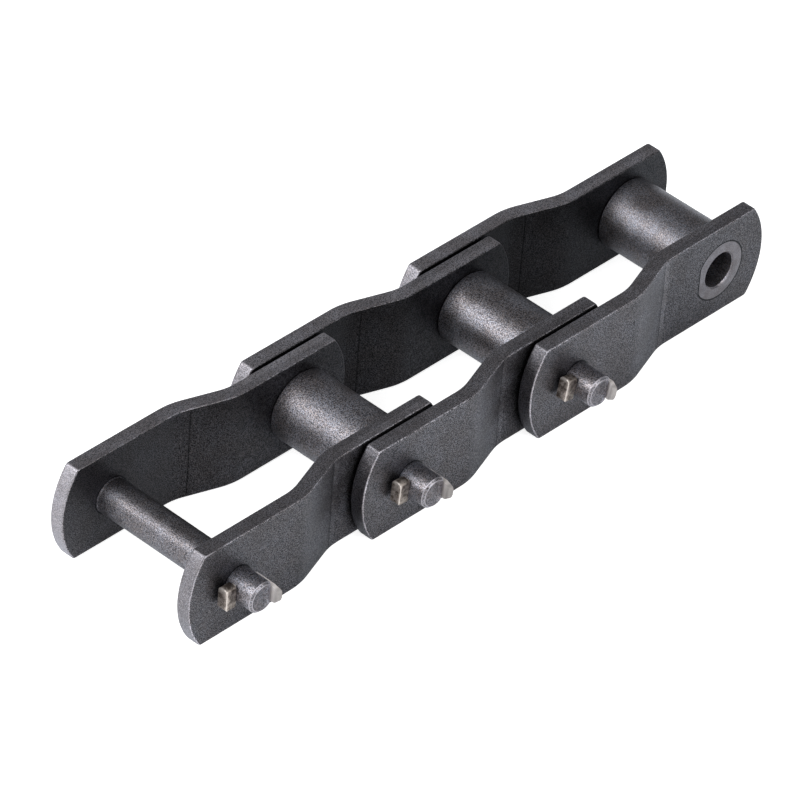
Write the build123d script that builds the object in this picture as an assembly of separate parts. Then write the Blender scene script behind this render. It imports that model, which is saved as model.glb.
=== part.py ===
from build123d import *
import os
from math import acos, atan2, degrees, tan

# Steel chain with cranked side bars: three links, each with two side bars, a shouldered
# bush, a stepped pin and a flat cotter. The chain runs along X, its pins lie along Y and
# its bars stand on edge along Z. The near side, where the cotters are, is -Y. The origin
# is the middle of the open bush's bore, and the links follow from there towards -X.

# Chain
link_count = 3
pitch = 66.27
side_gap = 1.12                 # from a narrow end's outer face to a wide end's inner face
seat_clearance = 0.02           # radial, round what is pressed or keyed in a side bar

# Side bars
bar_height = 31.0
bar_thickness = 4.76
bar_end_reach = 18.2            # from a hole's centre to the end of the bar
bar_end_radius = 26.0
bar_corner_radius = 1.4
bar_edge_radius = 0.55
crank_start = 24.9              # from the pin to the first corner of the mid-line
crank_run = 17.05               # along X, between the two corners of the mid-line
crank_bend_radius = 20.4        # of the mid-line

# Bush
barrel_length = 31.75
barrel_diameter = 22.2
barrel_edge_chamfer = 0.4
bush_shoulder_diameter = 18.8
bush_flat_distance = 8.4        # from the bush's axis
bush_bore_diameter = 11.3
bush_mouth_chamfer = 0.4

# Pin
pin_running_clearance = 0.1     # radial, in the bush
pin_tip_diameter = 9.53         # through the near side bar
pin_flat_distance = 2.9         # from the pin's axis
pin_flat_play = 0.7             # from the pin's flat to the flat of its hole
pin_turns = [0.0, 0.32, 0.9]    # shares of that play that the pins are turned through
pin_overhang = 9.7              # beyond the near side bar
pin_tip_chamfer = 0.7
pin_flat_chamfer = 0.35         # where the flat meets the pin's end
pin_head_diameter = 17.0
pin_head_thickness = 4.0
pin_head_edge_radius = 1.2

# Cotter
cotter_standoff = 0.85          # from the near side bar to the cotter's head
cotter_head_length = 3.5        # along X
cotter_head_width = 3.5         # along Y
cotter_head_height = 6.8
cotter_head_round = 1.25
cotter_edge_radius = 0.3
cotter_leg_thickness = 1.3
cotter_leg_height = 5.2
cotter_gap = 0.1                # from the pin to the head, the leg and the tail
cotter_bend_radius = 0.3        # inside the bend at the pin's flat
cotter_hook_radius = 0.6        # inside the bend at the pin's end
cotter_tail_length = 3.4        # straight, beyond that bend
cotter_tip_upper_radius = 0.8
cotter_tip_lower_radius = 3.4
cotter_hooks = [9.0, 17.0, 32.0]   # degrees that each tail is bent over its pin's end

# Worked out from the sizes above
narrow_inner = barrel_length / 2
narrow_outer = narrow_inner + bar_thickness
wide_inner = narrow_outer + side_gap
wide_outer = wide_inner + bar_thickness
pin_diameter = bush_bore_diameter - 2 * pin_running_clearance
pin_end = -(wide_outer + pin_overhang)
hole_flat_distance = min(pin_flat_distance + pin_flat_play, pin_tip_diameter / 2)
cotter_centre = -(wide_outer + cotter_standoff + cotter_head_width / 2)
cotter_seat = -(pin_tip_diameter / 2 + cotter_gap)


def along_y(section, near, far):
    """Extrudes an XZ section from y = near to y = far."""
    return extrude(Plane.XZ.offset(-far) * section, amount=far - near)


def flatted_circle(diameter, flat, facing, clearance=0):
    """A circle with a flat towards +X (1) or -X (-1), all of it larger by the clearance."""
    radius = diameter / 2 + clearance
    cut = Pos(facing * (flat + clearance + radius), 0) * Rectangle(2 * radius, 2 * radius)
    return Circle(radius) - cut


def crank_line(depth):
    """The plan line of a far side bar at that depth outside its mid-line."""
    wide = wide_inner + bar_thickness / 2
    narrow = narrow_inner + bar_thickness / 2
    shift = depth * tan(atan2(wide - narrow, crank_run) / 2)
    beyond = 2 * bar_end_reach
    return FilletPolyline(
        (-beyond, wide + depth),
        (crank_start + shift, wide + depth),
        (crank_start + crank_run + shift, narrow + depth),
        (pitch + beyond, narrow + depth),
        radius=[crank_bend_radius + depth, crank_bend_radius - depth],
    )


def cranked_strip():
    """The bent flat steel of a far side bar, before its ends are cut."""
    outer = crank_line(bar_thickness / 2)
    inner = crank_line(-bar_thickness / 2)
    ends = [Line(outer @ 0, inner @ 0), Line(outer @ 1, inner @ 1)]
    plan = make_face(outer.edges() + inner.edges() + ends)
    return extrude(plan, bar_height / 2, both=True)


def bar_outline():
    """The side view of a bar, with its ends cut to wide arcs."""
    half = bar_height / 2
    corner = bar_end_radius - bar_end_reach - (bar_end_radius**2 - half**2) ** 0.5
    other_corner = pitch - corner
    outline = make_face([
        ThreePointArc((corner, -half), (-bar_end_reach, 0), (corner, half)),
        Line((corner, half), (other_corner, half)),
        ThreePointArc((other_corner, half), (pitch + bar_end_reach, 0), (other_corner, -half)),
        Line((other_corner, -half), (corner, -half)),
    ])
    return fillet(outline.vertices(), bar_corner_radius)


def is_rim(edge):
    """True for a side bar's outer edges, which run along it or round its ends."""
    return edge.geom_type != GeomType.LINE or abs(edge.tangent_at(0.5).X) > 0.5


def bar_blank():
    """A far side bar with rounded edges and no holes."""
    blank = cranked_strip() & along_y(bar_outline(), 0, 2 * wide_outer)
    return fillet(blank.edges().filter_by(is_rim), bar_edge_radius)


def bush_section(clearance=0):
    """The section of a bush's shoulder, or of the hole it is pressed in."""
    return flatted_circle(bush_shoulder_diameter, bush_flat_distance, -1, clearance)


def pin_tip_section():
    """The section of a pin's stepped end."""
    return flatted_circle(pin_tip_diameter, pin_flat_distance, 1)


def pin_hole_section():
    """The section of the hole that keeps a pin's stepped end from turning."""
    return flatted_circle(pin_tip_diameter, hole_flat_distance, 1, seat_clearance)


def pin_turn(share):
    """The degrees that a pin turns in its hole for that share of its flat's play."""
    radius = pin_tip_diameter / 2
    return share * degrees(acos(pin_flat_distance / radius) - acos(hole_flat_distance / radius))


def far_bar():
    """The side bar under the pin's head."""
    holes = Circle(pin_diameter / 2 + seat_clearance) + Pos(pitch, 0) * bush_section(seat_clearance)
    return bar_blank() - along_y(holes, 0, 2 * wide_outer)


def near_bar():
    """The side bar that the pin's stepped end is keyed in."""
    holes = pin_hole_section() + Pos(pitch, 0) * bush_section(seat_clearance)
    return mirror(bar_blank(), about=Plane.XZ) - along_y(holes, -2 * wide_outer, 0)


def bush():
    """A barrel that spaces the side bars, with a keyed shoulder in each and a bore."""
    barrel = along_y(Circle(barrel_diameter / 2), -narrow_inner, narrow_inner)
    barrel = chamfer(barrel.edges().filter_by(GeomType.CIRCLE), barrel_edge_chamfer)
    body = barrel + along_y(bush_section(), -narrow_outer, narrow_outer)
    bore = along_y(Circle(bush_bore_diameter / 2), -narrow_outer, narrow_outer)
    mouth = Cone(
        bush_bore_diameter / 2 + bush_mouth_chamfer, bush_bore_diameter / 2, bush_mouth_chamfer,
        align=(Align.CENTER, Align.CENTER, Align.MIN))
    far_mouth = Pos(0, narrow_outer, 0) * Rot(90, 0, 0) * mouth
    near_mouth = Pos(0, -narrow_outer, 0) * Rot(-90, 0, 0) * mouth
    return body - bore - far_mouth - near_mouth


def pin():
    """A headed pin, stepped down and flatted where it passes the near side bar."""
    head = along_y(Circle(pin_head_diameter / 2), wide_outer, wide_outer + pin_head_thickness)
    head = fillet(head.edges().sort_by(Axis.Y)[-1], pin_head_edge_radius)
    shank = along_y(Circle(pin_diameter / 2), seat_clearance - wide_inner, wide_outer)
    tip = along_y(Circle(pin_tip_diameter / 2), pin_end, 0)
    tip = chamfer(tip.edges().sort_by(Axis.Y)[0], pin_tip_chamfer)
    tip &= along_y(pin_tip_section(), pin_end, 0)
    end_flat = tip.faces().sort_by(Axis.Y)[0].edges().filter_by(GeomType.LINE)
    tip = chamfer(end_flat, pin_flat_chamfer)
    slot = Pos(0, cotter_centre, 0) * Box(
        2 * pin_diameter,
        cotter_leg_thickness + 2 * cotter_gap,
        cotter_leg_height + 2 * cotter_gap,
    )
    return head + shank + tip - slot


def cotter_head():
    """The block that stops the cotter against the pin, rounded along its top."""
    block = Pos(cotter_seat - cotter_head_length / 2, cotter_centre, 0) * Box(
        cotter_head_length, cotter_head_width, cotter_head_height)
    block = fillet(block.edges().filter_by(Axis.X).group_by(Axis.Z)[-1], cotter_head_round)
    return fillet(block.faces().sort_by(Axis.X)[0].edges(), cotter_edge_radius)


def cotter_leg(hook):
    """The flat leg: through the pin, bent square along its flat, then over its end by `hook` degrees."""
    half = cotter_leg_thickness / 2
    flat = pin_flat_distance + cotter_gap
    shank = Line(
        (cotter_seat - cotter_head_length / 2, cotter_centre),
        (flat - cotter_bend_radius, cotter_centre))
    corner = JernArc(
        start=shank @ 1, tangent=shank % 1, radius=cotter_bend_radius + half, arc_size=-90)
    side = Line(corner @ 1, (flat + half, pin_end + pin_flat_chamfer))
    over = JernArc(start=side @ 1, tangent=side % 1, radius=cotter_hook_radius + half, arc_size=-hook)
    tail = PolarLine(over @ 1, cotter_tail_length, direction=over % 1)
    section = Plane(origin=shank @ 0, x_dir=(0, 1, 0), z_dir=(1, 0, 0)) * Rectangle(
        cotter_leg_thickness, cotter_leg_height)
    leg = sweep(section, path=Wire([shank, corner, side, over, tail]))
    tip = leg.faces().sort_by(Axis.Y)[0]
    leg = fillet(tip.edges().sort_by(Axis.Z)[-1], cotter_tip_upper_radius)
    tip = leg.faces().sort_by(Axis.Y)[0]
    return fillet(tip.edges().sort_by(Axis.Z)[0], cotter_tip_lower_radius)


def cotter(hook):
    """A flat cotter: its head, its leg through the pin and its bent tail."""
    return cotter_head() + cotter_leg(hook)


def write_link(number):
    """Writes the pieces of one link; the highest number has the open bush at the origin."""
    at = Pos((number - 1 - link_count) * pitch, 0, 0)
    turned = Rot(0, pin_turn(pin_turns[(number - 1) % len(pin_turns)]), 0)
    pieces = {
        "near_bar": near_bar(),
        "far_bar": far_bar(),
        "bush": Pos(pitch, 0, 0) * bush(),
        "pin": turned * pin(),
        "cotter": turned * cotter(cotter_hooks[(number - 1) % len(cotter_hooks)]),
    }
    for name, piece in pieces.items():
        export_step(at * piece, f"parts/link_{number}_{name}.step")


os.makedirs("parts", exist_ok=True)
for link_number in range(1, link_count + 1):
    write_link(link_number)
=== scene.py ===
import math
from functools import reduce
from types import SimpleNamespace

import bpy
from mathutils import Matrix, Vector


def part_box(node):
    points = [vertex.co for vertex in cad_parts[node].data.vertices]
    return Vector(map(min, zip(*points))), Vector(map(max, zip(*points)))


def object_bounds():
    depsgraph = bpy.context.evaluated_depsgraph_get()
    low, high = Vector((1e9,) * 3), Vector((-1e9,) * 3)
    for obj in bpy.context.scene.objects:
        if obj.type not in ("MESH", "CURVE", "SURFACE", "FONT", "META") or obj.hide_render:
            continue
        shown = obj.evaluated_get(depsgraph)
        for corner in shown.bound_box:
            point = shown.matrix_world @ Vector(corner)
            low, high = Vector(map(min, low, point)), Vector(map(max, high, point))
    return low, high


# The looks of a steel chain with cranked side bars: three links of dark blasted steel,
# locked by bright cotters, on a white floor in soft studio light.

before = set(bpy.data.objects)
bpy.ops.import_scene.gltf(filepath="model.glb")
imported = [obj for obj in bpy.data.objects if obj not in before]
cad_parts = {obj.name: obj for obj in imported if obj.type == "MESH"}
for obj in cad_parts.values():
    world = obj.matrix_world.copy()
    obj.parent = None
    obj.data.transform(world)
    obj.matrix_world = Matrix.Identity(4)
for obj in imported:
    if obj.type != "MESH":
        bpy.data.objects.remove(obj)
cad_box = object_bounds()
MM = 0.001
LINKS = (1, 2, 3)

# Sizes read from the parts in model.glb, in metres, with y from the middle of the chain
bush_boxes = {n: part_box(f"link_{n}_bush") for n in LINKS}
bush_x = {n: (low.x + high.x) / 2 for n, (low, high) in bush_boxes.items()}
pitch = bush_x[3] - bush_x[2]
half_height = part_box("link_3_near_bar")[1].z
end_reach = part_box("link_3_near_bar")[1].x - bush_x[3]    # from a hole's centre to the bar's end
wide_face = -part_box("link_3_near_bar")[0].y               # the outer faces of the wide bar ends
bush_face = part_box("link_3_bush")[1].y                    # the ends of a bush
pin_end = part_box("link_3_pin")[0].y
floor_level = cad_box[0].z
cad_middle = (cad_box[0] + cad_box[1]) / 2

# Sizes of the pieces that their finish follows
bar_thickness = 4.76 * MM
bar_end_radius = 26.0 * MM
crank_start = 24.9 * MM            # from the pin
crank_run = 17.05 * MM
bend_blend = 4.9 * MM              # over which a bend rounds off the mid-line's corner
slope_fade = 3 * MM                # from a bend, over which the slope sets in, and with it the light painted on the slope
inner_crease = 28.4 * MM           # from the pin, where the punch marked the inner face
outer_crease = 41.5 * MM           # from the pin, where the die marked the outer face
crease_width = 0.35 * MM
crease_wobble = 0.5 * MM
rim_width = 3 * MM                 # beside a cut end, where the bar's rims are worn most and carry the strongest painted highlight
shoulder_radius = 9.4 * MM
shoulder_flat = 8.4 * MM
bore_radius = 5.65 * MM
pin_tip_radius = 4.765 * MM
pin_shank_radius = 5.55 * MM
pin_flat = 2.9 * MM
pin_chamfer = 0.7 * MM
pin_flat_chamfer = 0.35 * MM
pin_turns = {1: 0.0, 2: 3.7, 3: 10.3}       # degrees that the pins lie turned
cotter_face = -wide_face - 4.35 * MM        # the near face of a cotter's head
cotter_end = -8.365 * MM                    # the end of its head, from the pin's axis
cotter_head_start = -4.8 * MM               # where its head gives way to its leg
cotter_crown = 2.1 * MM                     # above the pin's axis, where its head rounds off

# Scales of the noises, in cycles per metre
bar_grain = 3500.0                 # of the cotters too
bush_grain = 3200.0
pin_grain = 3300.0
speck_scale = 3000.0
shear_scale = 1500.0
cloud_scale = 650.0
mottle_scale = 300.0
patch_scale = 120.0

# Looks of the pieces of each link, which differ as they do in the photograph
bar_levels = {1: 0.074, 2: 0.084, 3: 0.089}
bar_contrasts = {1: 0.92, 2: 0.98, 3: 0.88}
inner_shade_tones = {1: 0.74, 2: 0.4, 3: 0.31}           # painted shade on the bars' inner faces, deeper on links 2 and 3
narrow_end_light_and_shade = {1: 1.3, 2: 0.8, 3: 0.83}           # painted light on link 1's narrow ends and painted shade on the others', on their outer faces
cut_shares = {                                     # how bare the ends of the bars are, raised by painted light on link 1 and the far bars
    "near": {1: 0.58, 2: 0.24, 3: 0.26},
    "far": {1: 0.76, 2: 0.62, 3: 0.62},
}
cut_levels = {                                     # how bright those ends are where even, raised by painted light on link 1 and the far bars
    "near": {1: 0.21, 2: 0.11, 3: 0.105},
    "far": {1: 0.36, 2: 0.31, 3: 0.31},
}
cut_evenness = {1: 0.5, 2: 0.35, 3: 0.35}          # how little of the grain they show
rolled_shares = {"near": 0.5, "far": 0.8}          # how bare the bars' long edges are, raised by painted light on the far bars
# how bright those edges are where even, the far bars' raised by painted light
rolled_levels = {"near": 0.17, "far": 0.24}
bare_and_highlight_tone = 3.8                                    # of bare steel against dark scale, and of the highlights painted on the rims
rim_level = 0.45                                   # of the rims that are worn most, with a painted highlight on them
bush_contrasts = {1: 0.72, 2: 0.7, 3: 0.52}
bush_roughness = {1: 0.48, 2: 0.42, 3: 0.44}
pin_face_tones = {1: 0.57, 2: 0.68, 3: 0.7}
# how bright the cotters' tails are, link 3's raised by painted light as it turns from the lamps
tail_levels = {1: 0.4, 2: 0.34, 3: 0.44}

white = (1.0, 1.0, 1.0, 1.0)
pale_blue = (0.9, 0.95, 1.0, 1.0)
floor_paint = (0.85, 0.85, 0.85, 1.0)
dark_brown = (0.12, 0.095, 0.08, 1.0)
bright_brown = (0.5, 0.44, 0.4, 1.0)


# Camera

def stand_back(target, towards, distance):
    """A place at a distance from a target, looking at it."""
    turn = towards.to_track_quat("Z", "Y").to_matrix().to_4x4()
    return Matrix.Translation(target + towards * distance) @ turn


def place_camera():
    """A long lens with the photograph's direction, roll and framing."""
    azimuth, elevation, roll = math.radians(-48.965), math.radians(38.413), math.radians(4.741)
    target = Vector((-0.11047, -0.00155, 0.0))
    distance = 2.0335
    towards = Vector((
        math.sin(azimuth) * math.cos(elevation),
        -math.cos(azimuth) * math.cos(elevation),
        math.sin(elevation)))
    data = bpy.data.cameras.new("camera")
    data.sensor_width = 36.0
    data.lens = 332.55
    data.clip_start, data.clip_end = 0.1, 100.0
    camera = bpy.data.objects.new("camera", data)
    camera.matrix_world = stand_back(target, towards, distance) @ Matrix.Rotation(roll, 4, "Z")
    bpy.context.scene.collection.objects.link(camera)
    bpy.context.scene.camera = camera


# Shader nodes

class Shader:
    """Adds nodes to a material or a world, and links them."""

    def __init__(self, owner):
        owner.use_nodes = True
        self.tree = owner.node_tree
        self.tree.nodes.clear()

    def add(self, kind, inputs=(), **settings):
        """Adds a node, and sets or links each input that is named or numbered."""
        node = self.tree.nodes.new(kind)
        for name, value in settings.items():
            setattr(node, name, value)
        for key, value in dict(inputs).items():
            self.put(node.inputs[key], value)
        return node

    def put(self, socket, value):
        """Links a socket to another, or sets its value."""
        if isinstance(value, bpy.types.NodeSocket):
            self.tree.links.new(value, socket)
        else:
            socket.default_value = value

    def math(self, operation, *values):
        return self.add("ShaderNodeMath", dict(enumerate(values)), operation=operation).outputs[0]

    def joined(self, operation, values):
        """Several values, joined one after the other by an operation."""
        return reduce(lambda first, second: self.math(operation, first, second), values)

    def total(self, *values):
        return self.joined("ADD", values)

    def product(self, *values):
        return self.joined("MULTIPLY", values)

    def most(self, *values):
        """The highest of several values."""
        return self.joined("MAXIMUM", values)

    def least(self, *values):
        """The lowest of several values."""
        return self.joined("MINIMUM", values)

    def minus(self, first, second):
        return self.math("SUBTRACT", first, second)

    def rest(self, mask):
        """One where a mask is nothing, and nothing where it is one."""
        return self.minus(1.0, mask)

    def size(self, value):
        """A value without its sign."""
        return self.math("ABSOLUTE", value)

    def above(self, value, limit):
        return self.math("GREATER_THAN", value, limit)

    def below(self, value, limit):
        return self.math("LESS_THAN", value, limit)

    def root(self, first, second):
        """The length of a vector of two parts."""
        squares = [self.product(value, value) for value in (first, second)]
        return self.math("SQRT", self.total(*squares))

    def step(self, value, low, high, out_low=0.0, out_high=1.0):
        """A smooth step from out_low to out_high as value goes from low to high."""
        inputs = {
            "Value": value, "From Min": low, "From Max": high, "To Min": out_low, "To Max": out_high}
        node = self.add("ShaderNodeMapRange", inputs, interpolation_type="SMOOTHSTEP")
        return node.outputs["Result"]

    def fade(self, value, low, high):
        """One as far as low, and nothing from high on."""
        return self.step(value, low, high, 1.0, 0.0)

    def line(self, value, at, width):
        """One where value is at a place, and nothing from a width away."""
        return self.fade(self.size(self.minus(value, at)), width / 3, width)

    def mix(self, factor, first, second):
        """Mixes two colours."""
        node = self.add("ShaderNodeMix", data_type="RGBA")
        for name, value in (("Factor_Float", factor), ("A_Color", first), ("B_Color", second)):
            self.put(next(s for s in node.inputs if s.identifier == name), value)
        return next(s for s in node.outputs if s.identifier == "Result_Color")

    def scaled(self, colour, value):
        """A colour made lighter or darker."""
        node = self.add("ShaderNodeVectorMath", {0: colour, "Scale": value}, operation="SCALE")
        return node.outputs[0]

    def noise(self, place, scale, detail=2.0, roughness=0.5):
        """A noise value, where scale is in cycles per metre."""
        inputs = {"Vector": place, "Scale": scale, "Detail": detail, "Roughness": roughness}
        return self.add("ShaderNodeTexNoise", inputs).outputs["Fac"]

    def place(self, offset=(0.0, 0.0, 0.0), stretch=(1.0, 1.0, 1.0)):
        """The point on the piece at rest, stretched and then moved by an offset."""
        point = self.add("ShaderNodeTexCoord").outputs["Object"]
        node = self.add("ShaderNodeVectorMath", {0: point, 1: stretch, 2: offset}, operation="MULTIPLY_ADD")
        return node.outputs[0]

    def axes(self, offset):
        """The x, y and z of the point on the piece at rest, moved by an offset."""
        return self.add("ShaderNodeSeparateXYZ", {0: self.place(offset)}).outputs

    def turned(self, x, z, degrees):
        """The x and z of a point, measured square to a pin that lies turned."""
        turn = math.radians(degrees)
        cos, sin = math.cos(turn), math.sin(turn)
        along = self.minus(self.product(x, cos), self.product(z, sin))
        up = self.total(self.product(x, sin), self.product(z, cos))
        return along, up


def grey(level, warm=0.0):
    """The cool grey of the steel, a little warmer or bluer."""
    return (level * (1.0 + warm), level * 0.965, level * (1.05 - warm), 1.0)


def warm_grey(level):
    """The pale warm grey of rolled steel without scale, and of the highlights painted on a cotter's head.
    """
    return (level, level * 0.93, level * 0.87, 1.0)


# Materials

class Steel:
    """Blasted steel, whose colour, roughness and relief are worked on before it is finished.

    Level is how bright it is, contrast how strong its grain is, and warmth how much its hue varies.
    """

    def __init__(
            self, name, level, contrast, roughness, relief_depth, offset,
            grain_scale=bar_grain, warmth=0.057):
        self.material = bpy.data.materials.new(name)
        self.shader = shader = Shader(self.material)
        place = shader.place(offset)
        grain = shader.noise(place, grain_scale, 1.0, 0.6)
        pits = shader.noise(place, 0.7 * grain_scale, 1.0, 0.5)
        tint = shader.noise(place, 0.8 * grain_scale, 1.0, 0.5)
        self.patches = shader.noise(place, patch_scale, 3.0, 0.55)
        bluer = shader.total(
            shader.step(tint, 0.36, 0.64, 0.0, 0.65), shader.step(self.patches, 0.35, 0.65, 0.0, 0.35))
        hue = shader.mix(bluer, grey(level, warmth), grey(level, -warmth))
        bright = shader.product(
            shader.step(grain, 0.3, 0.72, 1.0 - contrast, 1.0 + 1.5 * contrast),
            shader.step(pits, 0.25, 0.5, 1.0 - 0.45 * contrast, 1.0),
            shader.step(self.patches, 0.3, 0.7, 0.85, 1.13))
        self.colour = shader.scaled(hue, bright)
        self.relief = shader.total(grain, pits)
        self.relief_depth = relief_depth
        self.roughness = shader.step(self.patches, 0.3, 0.7, roughness - 0.04, roughness + 0.04)

    def tone(self, mask, factor):
        """Makes the colour lighter or darker where the mask is one."""
        self.colour = self.shader.scaled(self.colour, self.shader.step(mask, 0.0, 1.0, 1.0, factor))

    def settle(self, mask, colour):
        """Evens the colour out to one colour, as far as the mask goes."""
        self.colour = self.shader.mix(mask, self.colour, colour)

    def groove(self, mask, depth):
        """Lowers the relief where the mask is one."""
        self.relief = self.shader.minus(self.relief, self.shader.product(mask, depth))

    def finish(self, metallic=1.0, tint=pale_blue):
        """Joins the colour, roughness and relief to the surface."""
        shader = self.shader
        bump = shader.add("ShaderNodeBump", {
            "Height": self.relief, "Distance": self.relief_depth, "Strength": 1.0}).outputs[0]
        surface = shader.add("ShaderNodeBsdfPrincipled", {
            "Base Color": self.colour, "Metallic": metallic, "Specular Tint": tint,
            "Roughness": self.roughness, "Normal": bump})
        output = shader.add("ShaderNodeOutputMaterial")
        shader.put(output.inputs["Surface"], surface.outputs[0])
        return self.material


def arc_depth(shader, x, z, centre, sign):
    """How deep a point lies inside the arc that ends a bar, or far on the other side of its centre."""
    along = shader.product(shader.minus(x, centre), sign)
    depth = shader.minus(bar_end_radius, shader.root(along, z))
    return shader.total(depth, shader.fade(along, 0.0, 4 * MM))


def measure_bar(shader, number):
    """Where a point lies on a side bar.

    x is measured from the bar's pin and z from its middle. The depths are those below its flat
    faces, its cut ends and its top or bottom edge. rim_depth is the least of them, and on the
    bar's outside it is more than nothing only where an edge is rounded off.
    """
    x, y, z = shader.axes((pitch - bush_x[number], 0.0, 0.0))

    # The bar's mid-line goes down a slope with a round bend at each end
    run = shader.math("SMOOTH_MAX", shader.minus(x, crank_start), 0.0, bend_blend)
    run = shader.math("SMOOTH_MIN", run, crank_run, bend_blend)
    wide_middle, narrow_middle = wide_face - bar_thickness / 2, bush_face - bar_thickness / 2
    slope = (wide_middle - narrow_middle) / crank_run
    sloping = shader.product(
        shader.step(run, 0.0, slope_fade), shader.fade(run, crank_run - slope_fade, crank_run))

    beyond = shader.minus(shader.size(y), shader.minus(wide_middle, shader.product(run, slope)))
    lean = 1.0 - math.cos(math.atan(slope))
    across = shader.product(shader.size(beyond), shader.rest(shader.product(sloping, lean)))
    face_depth = shader.minus(bar_thickness / 2, across)

    end_centre = bar_end_radius - end_reach
    end_depth = shader.least(
        arc_depth(shader, x, z, end_centre, -1.0), arc_depth(shader, x, z, pitch - end_centre, 1.0))
    top_depth = shader.minus(half_height, shader.size(z))
    rim_depth = shader.least(face_depth, shader.least(end_depth, top_depth))
    return SimpleNamespace(
        x=x, z=z, sloping=sloping, outside=shader.above(beyond, 0.0), face_depth=face_depth,
        end_depth=end_depth, top_depth=top_depth, rim_depth=rim_depth)


def bare_and_highlight_edges(steel, bar, shear, number, side):
    """Bares a bar's cut ends, its rolled top and bottom edges, and its rims, with painted light and painted
    highlights mixed in.
    """
    shader = steel.shader
    past_rims = shader.step(bar.face_depth, 0.1 * MM, 0.4 * MM)
    cut = shader.product(shader.fade(bar.end_depth, 0.15 * MM, 0.4 * MM), past_rims)
    rolled = shader.product(shader.fade(bar.top_depth, 0.1 * MM, 0.35 * MM), past_rims)
    # the rounded rims, partly worn bare and partly a painted highlight
    worn_and_highlit = shader.product(
        shader.step(bar.rim_depth, 0.01 * MM, 0.07 * MM),
        shader.step(steel.patches, 0.36, 0.6, 0.7, 0.95),
        shader.step(bar.end_depth, 0.0, rim_width, 1.0, 0.6))
    # bare steel, partly painted light and painted highlight
    bare_and_lit = shader.most(
        shader.product(cut, cut_shares[side][number]),
        shader.product(rolled, rolled_shares[side]),
        worn_and_highlit)
    steel.tone(bare_and_lit, bare_and_highlight_tone)
    steel.tone(shader.product(cut, shader.fade(shear, 0.38, 0.62)), 0.8)
    # bare steel, made paler on the far bars and on link 1's ends by painted light
    steel.settle(shader.product(cut, cut_evenness[number]), grey(cut_levels[side][number]))
    steel.settle(shader.product(rolled, 0.4), grey(rolled_levels[side]))


def mark_bends(steel, bar):
    """Marks where the tools that bent a bar pressed on it, with a painted highlight on the ridge beside the
    outer mark, and paints light on its slope.
    """
    shader = steel.shader
    wobble = shader.product(shader.noise(shader.place(), patch_scale), crease_wobble)
    along = shader.total(bar.x, wobble)
    plate = shader.product(
        shader.step(bar.top_depth, 0.4 * MM, 0.9 * MM), shader.fade(bar.face_depth, 0.1 * MM, 0.3 * MM))
    inner = shader.product(shader.line(along, inner_crease, crease_width), shader.rest(bar.outside))
    outer = shader.product(shader.line(along, outer_crease, crease_width), bar.outside)
    ridge_highlight = shader.product(shader.line(along, outer_crease + 1.3 * MM, 1.6 * MM), bar.outside)
    crease = shader.product(shader.most(inner, outer), plate)
    # a painted highlight on the ridge beside the outer mark
    steel.tone(shader.product(ridge_highlight, plate), 1.35)
    # painted light on the outer face of the slope
    steel.tone(shader.product(bar.sloping, bar.outside, plate), 1.16)
    steel.tone(crease, 0.45)
    steel.groove(crease, 2.0)


def darken_seats(steel, bar, pin_radius):
    """Draws the dark line round the bush in a bar, a dark line round the pin that is partly a joint and
    partly painted contact shadow, and a ring of painted shade round the pin.
    """
    shader = steel.shader
    seat = shader.most(
        shader.minus(shader.root(shader.minus(bar.x, pitch), bar.z), shoulder_radius),
        shader.minus(shader.minus(pitch, bar.x), shoulder_flat))
    bush_seat = shader.product(shader.fade(seat, 0.16 * MM, 0.42 * MM), bar.outside)
    steel.tone(shader.product(bush_seat, shader.above(bar.x, pitch / 2)), 0.05)
    hole = shader.minus(shader.root(bar.x, bar.z), pin_radius)
    # a dark joint round the pin, partly painted contact shadow
    steel.tone(shader.fade(hole, 0.2 * MM, 0.65 * MM), 0.1)
    # painted shade round the pin
    steel.tone(shader.fade(hole, 0.0, 4 * MM), 0.8)


def brighten_rims(steel, bar, shear):
    """Paints a highlight on the faces beside a bar's long edges, and brightens the rims of its ends, partly
    rubbed down to the steel and partly a painted highlight, more towards the top.
    """
    shader = steel.shader
    # a painted highlight on the faces beside the top and bottom edges
    beside_edges = shader.product(
        shader.fade(bar.top_depth, 0.2 * MM, 2.0 * MM), shader.fade(bar.face_depth, 0.0, 0.1 * MM))
    steel.tone(beside_edges, 1.2)
    # rims partly worn bare and partly a painted highlight, brighter towards the top
    worn_and_highlit_rims = shader.product(
        shader.step(bar.rim_depth, 0.06 * MM, 0.13 * MM),
        shader.step(shear, 0.38, 0.6, 0.25, 0.75),
        shader.fade(bar.end_depth, 0.0, rim_width),
        shader.step(bar.z, -10 * MM, 12 * MM, 0.55, 1.0))
    steel.settle(worn_and_highlit_rims, grey(rim_level))


def bar_steel(number, side, pin_radius):
    """Dark scale on a side bar, with paler cut ends, rubbed rims and the marks of the bending, and with
    painted light and shade.
    """
    steel = Steel(
        f"bar_steel_{number}_{side}", bar_levels[number], bar_contrasts[number],
        roughness=0.46, relief_depth=0.022 * MM, offset=(number * 0.37, 0.0, 0.0))
    shader = steel.shader
    bar = measure_bar(shader, number)
    stretched = shader.place((number * 0.11, 0.0, 0.0), (1.0, 0.22, 1.0))
    shear = shader.noise(stretched, shear_scale, 3.0, 0.65)
    bare_and_highlight_edges(steel, bar, shear, number, side)
    mark_bends(steel, bar)
    darken_seats(steel, bar, pin_radius)
    brighten_rims(steel, bar, shear)
    inner_face = shader.product(
        shader.rest(bar.outside), shader.fade(bar.face_depth, 0.1 * MM, 0.4 * MM))
    narrow_end = shader.step(bar.x, outer_crease, outer_crease + 8 * MM)
    # painted shade on the bars' inner faces
    steel.tone(inner_face, inner_shade_tones[number])
    # painted light on link 1's narrow ends, painted shade on those of links 2 and 3
    steel.tone(shader.product(narrow_end, bar.outside), narrow_end_light_and_shade[number])
    return steel.finish()


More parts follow.
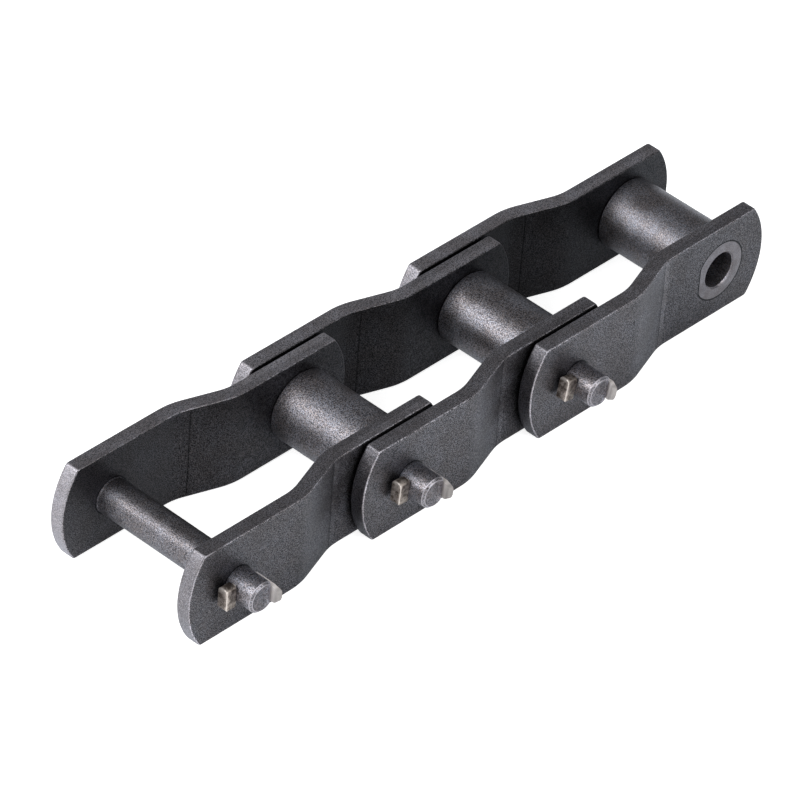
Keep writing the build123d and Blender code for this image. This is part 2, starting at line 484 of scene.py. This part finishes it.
def bush_steel(number):
    """Blasted steel, with mottled ends, painted light in the mouths of its bore, and a dark line where its
    end meets its seat.
    """
    steel = Steel(
        f"bush_steel_{number}", 0.195, bush_contrasts[number],
        roughness=bush_roughness[number], relief_depth=0.04 * MM, offset=(0.0, number * 0.5, 0.0),
        grain_scale=bush_grain, warmth=0.085)
    shader = steel.shader
    x, y, z = shader.axes((-bush_x[number], 0.0, 0.0))
    out = shader.size(y)
    end = shader.step(out, bush_face - 0.3 * MM, bush_face - 0.1 * MM)
    bore = shader.product(
        shader.below(shader.root(x, z), bore_radius + 0.05 * MM),
        shader.step(out, bush_face - 4.5 * MM, bush_face - 0.5 * MM))
    # painted light on the bore's wall near its ends
    steel.tone(bore, 1.9)
    mottle = shader.step(shader.noise(shader.place(), mottle_scale, 3.0, 0.6), 0.35, 0.65)
    steel.settle(shader.product(end, 0.6), shader.mix(mottle, grey(0.1, 0.05), grey(0.19)))
    inset = shader.most(
        shader.minus(shader.root(x, z), shoulder_radius),
        shader.minus(shader.product(x, -1.0), shoulder_flat))
    steel.tone(shader.product(end, shader.step(inset, -0.26 * MM, -0.08 * MM)), 0.12)
    return steel.finish()


def pin_steel(number):
    """Blasted steel with a duller end face, painted highlights along the edges of its chamfer and where it
    meets the far bar, painted shade on its shank between the bars, and painted light beside its flat.
    """
    steel = Steel(
        f"pin_steel_{number}", 0.255, 0.7,
        roughness=0.43, relief_depth=0.038 * MM, offset=(0.0, 0.0, number * 0.7),
        grain_scale=pin_grain, warmth=0.075)
    shader = steel.shader
    x, y, z = shader.axes((pitch - bush_x[number], 0.0, 0.0))
    along = shader.turned(x, z, pin_turns[number])[0]
    # painted shade on the shank between the bars and in the far bar
    steel.tone(shader.step(y, -wide_face, -wide_face + bar_thickness), 0.58)
    # a painted highlight round the shank where it meets the far bar
    steel.tone(shader.line(y, wide_face - bar_thickness - 0.3 * MM, 0.5 * MM), 2.8)

    face = shader.fade(y, pin_end + 0.02 * MM, pin_end + 0.08 * MM)
    # How far a point lies past the edge of the end face, counted less beyond the flat
    past_face = shader.most(
        shader.minus(shader.root(x, z), pin_tip_radius - pin_chamfer),
        shader.product(shader.minus(along, pin_flat - pin_flat_chamfer), 0.55))
    tip = shader.below(y, pin_end + 2 * pin_chamfer)
    edges = shader.most(
        shader.product(shader.line(past_face, 0.0, 0.18 * MM), shader.below(y, pin_end + 0.2 * MM)),
        shader.product(shader.line(y, pin_end + pin_chamfer, 0.18 * MM), tip),
        shader.product(shader.line(along, pin_flat - pin_flat_chamfer / 2, 0.3 * MM), tip))
    ring = shader.product(shader.below(y, pin_end + pin_chamfer), shader.above(past_face, 0.1 * MM))
    steel.tone(face, pin_face_tones[number])
    # painted light on the end face beside its flat, where the cotter's tail shades it
    steel.tone(shader.product(face, shader.step(along, -0.5 * MM, 2.5 * MM)), 1.7)
    steel.tone(ring, 0.75)
    steel.settle(shader.product(face, 0.3), grey(0.16))
    # painted highlights along the edges of the chamfer and the flat
    steel.settle(shader.product(edges, 0.85), grey(0.42))
    smooth = shader.most(edges, shader.product(ring, 0.75))
    steel.relief = shader.product(steel.relief, shader.rest(smooth))
    steel.roughness = shader.total(steel.roughness, shader.product(face, 0.22))
    return steel.finish()


def cotter_steel(number):
    """Bare steel, smooth and pale on the rolled tail, brown and glossier on the sheared head, with painted
    light, shade and highlights on both.
    """
    steel = Steel(
        f"cotter_steel_{number}", tail_levels[number], 0.12,
        roughness=0.55, relief_depth=0.01 * MM, offset=(0.0, number * 0.3, 0.0))
    shader = steel.shader
    x, y, z = shader.axes((pitch - bush_x[number], 0.0, 0.0))
    along, up = shader.turned(x, z, pin_turns[number])
    head = shader.fade(along, cotter_head_start - 0.1 * MM, cotter_head_start + 0.1 * MM)
    cloud = shader.noise(shader.place((0.0, number * 0.2, 0.0)), cloud_scale, 3.0, 0.65)
    brown = shader.mix(shader.step(cloud, 0.36, 0.64), dark_brown, bright_brown)
    pale = shader.mix(0.75, steel.colour, warm_grey(tail_levels[number]))
    steel.colour = shader.mix(head, pale, brown)

    # The head's near face, its sheared end, and the edges between them and its top, with painted shade on
    # the near face and behind the top, and painted highlights beside and on the corner and on the top's lip
    front = shader.fade(y, cotter_face + 0.05 * MM, cotter_face + 0.3 * MM)
    sheared = shader.fade(along, cotter_end + 0.05 * MM, cotter_end + 0.25 * MM)
    speck = shader.noise(shader.place((0.3, 0.0, 0.0)), speck_scale, 2.0, 0.6)
    corner = shader.product(
        shader.fade(y, cotter_face + 0.15 * MM, cotter_face + 0.4 * MM),
        shader.fade(along, cotter_end + 0.15 * MM, cotter_end + 0.4 * MM))
    top = shader.product(head, shader.step(up, cotter_crown, cotter_crown + 0.9 * MM))
    towards_pin = shader.step(along, -7.6 * MM, -5.6 * MM)
    lip = shader.product(top, shader.fade(along, cotter_end + 0.2 * MM, cotter_end + 0.7 * MM))
    beside_corner = shader.most(
        shader.product(sheared, shader.fade(y, cotter_face, cotter_face + 1.5 * MM)),
        shader.product(head, front, shader.fade(along, cotter_end, cotter_end + 1.7 * MM)))
    # painted shade on the head's near face
    steel.tone(shader.product(head, front), 0.5)
    steel.tone(shader.product(sheared, shader.fade(speck, 0.35, 0.6)), 0.6)
    # a painted highlight beside the corner
    steel.tone(beside_corner, 1.9)
    # painted shade on the top towards the pin
    steel.tone(shader.product(top, towards_pin), 0.5)
    # painted highlights on the corner and on the top's lip
    steel.settle(shader.product(shader.most(corner, lip), 0.7), warm_grey(0.7))

    tail = shader.rest(head)
    tip = shader.product(tail, shader.fade(y, pin_end - 2.6 * MM, pin_end - 0.4 * MM))
    # painted light on the tail where the pin shades it, and the tip a little darker
    steel.tone(shader.product(tail, shader.rest(tip)), 1.5)
    steel.tone(tip, 0.82)
    steel.roughness = shader.minus(steel.roughness, shader.product(head, 0.17))
    return steel.finish(metallic=shader.product(head, 0.7), tint=white)


def dress(node, material):
    """Gives a CAD node its material."""
    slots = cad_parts[node].data.materials
    slots.clear()
    slots.append(material)


def dress_chain():
    for number in LINKS:
        dress(f"link_{number}_near_bar", bar_steel(number, "near", pin_tip_radius))
        dress(f"link_{number}_far_bar", bar_steel(number, "far", pin_shank_radius))
        dress(f"link_{number}_bush", bush_steel(number))
        dress(f"link_{number}_pin", pin_steel(number))
        dress(f"link_{number}_cotter", cotter_steel(number))


# Studio

def background_light(shader, seen_glow, mirrored_glow):
    """An emission that the camera sees, and another that reflections and transmission see."""
    path = shader.add("ShaderNodeLightPath").outputs
    mirrored = shader.most(path["Is Glossy Ray"], path["Is Transmission Ray"])
    glow = shader.most(
        shader.product(path["Is Camera Ray"], seen_glow), shader.product(mirrored, mirrored_glow))
    return shader.add("ShaderNodeEmission", {"Color": white, "Strength": glow}).outputs[0]


def floor_white():
    """White paint that keeps a soft shadow, and that the steel mirrors dimmer close to the chain, as a
    painted shade.
    """
    material = bpy.data.materials.new("floor_white")
    shader = Shader(material)
    paint = shader.add("ShaderNodeBsdfDiffuse", {"Color": floor_paint}).outputs[0]
    position = shader.add("ShaderNodeNewGeometry").outputs["Position"]
    x, y = shader.add("ShaderNodeSeparateXYZ", {0: position}).outputs[:2]

    def past(value, centre, reach):
        """How far a value lies past a reach on both sides of a centre."""
        return shader.most(0.0, shader.minus(shader.size(shader.minus(value, centre)), reach))

    half_length = (cad_box[1] - cad_box[0]).x / 2
    away = shader.root(past(x, cad_middle.x, half_length - end_reach), past(y, 0.0, wide_face))
    # painted shade in what the steel mirrors of the floor close to the chain
    mirrored_glow = shader.step(away, -6 * MM, 14 * MM, 0.15, 0.5)
    glow = background_light(shader, seen_glow=0.82, mirrored_glow=mirrored_glow)
    both = shader.add("ShaderNodeAddShader", {0: paint, 1: glow}).outputs[0]
    output = shader.add("ShaderNodeOutputMaterial")
    shader.put(output.inputs["Surface"], both)
    return material


def lay_floor():
    """A wide floor that the chain rests on."""
    reach = 20.0
    corners = [(-reach, -reach), (reach, -reach), (reach, reach), (-reach, reach)]
    mesh = bpy.data.meshes.new("floor")
    mesh.from_pydata([(x, y, floor_level) for x, y in corners], [], [(0, 1, 2, 3)])
    mesh.materials.append(floor_white())
    floor = bpy.data.objects.new("floor", mesh)
    bpy.context.scene.collection.objects.link(floor)


def light_world():
    """A dim room with a bright band at the horizon."""
    world = bpy.data.worlds.new("studio")
    bpy.context.scene.world = world
    shader = Shader(world)
    direction = shader.add("ShaderNodeTexCoord").outputs["Generated"]
    height = shader.add("ShaderNodeSeparateXYZ", {0: direction}).outputs["Z"]
    strength = shader.step(height, 0.02, 0.22, 1.0, 0.25)
    glow = shader.add("ShaderNodeBackground", {"Color": white, "Strength": strength}).outputs[0]
    output = shader.add("ShaderNodeOutputWorld")
    shader.put(output.inputs["Surface"], glow)


def softbox(name, direction, distance, width, height, power):
    """A rectangular light that faces the middle of the chain."""
    data = bpy.data.lights.new(name, "AREA")
    data.shape = "RECTANGLE"
    data.size, data.size_y = width, height
    data.energy = power
    lamp = bpy.data.objects.new(name, data)
    lamp.matrix_world = stand_back(cad_middle, Vector(direction).normalized(), distance)
    bpy.context.scene.collection.objects.link(lamp)


def light_studio():
    softbox("key", (-0.72, 0.2, 0.62), distance=1.2, width=0.8, height=0.8, power=13.0)
    softbox("front", (0.05, -0.82, 0.5), distance=1.4, width=1.1, height=0.6, power=9.0)


place_camera()
light_world()
light_studio()
lay_floor()
dress_chain()

scene = bpy.context.scene
scene.view_settings.view_transform = "Standard"
